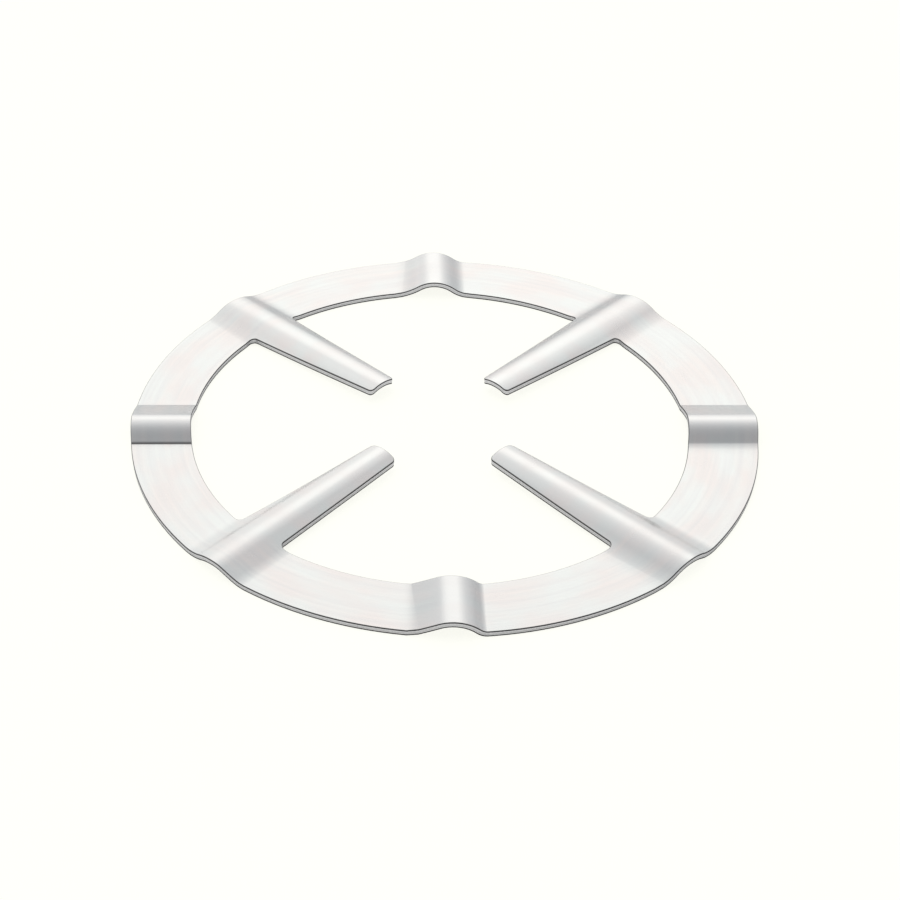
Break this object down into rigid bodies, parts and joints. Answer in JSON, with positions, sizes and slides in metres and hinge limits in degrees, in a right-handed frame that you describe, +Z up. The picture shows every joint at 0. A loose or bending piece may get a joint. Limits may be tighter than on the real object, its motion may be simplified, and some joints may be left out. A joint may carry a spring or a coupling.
{
  "type": "gas hob reducer ring",
  "caption": "Flat pressed sheet-metal ring with ridged tapering fingers towards the centre, to stand a small pot on a large gas burner.",
  "frame": {"origin": "centre of the ring, on the plane of its flat underside", "axes": "+Z up from the hob towards the pot, +X through the middle of a short rib, fingers on the diagonals"},
  "size_m": [0.13, 0.13, 0.0037],
  "materials": {
    "steel": "bright satin stainless sheet, sheared edges"
  },
  "bodies": {
    "root": {"reducer_ring": "steel"}
  },
  "joints": []
}
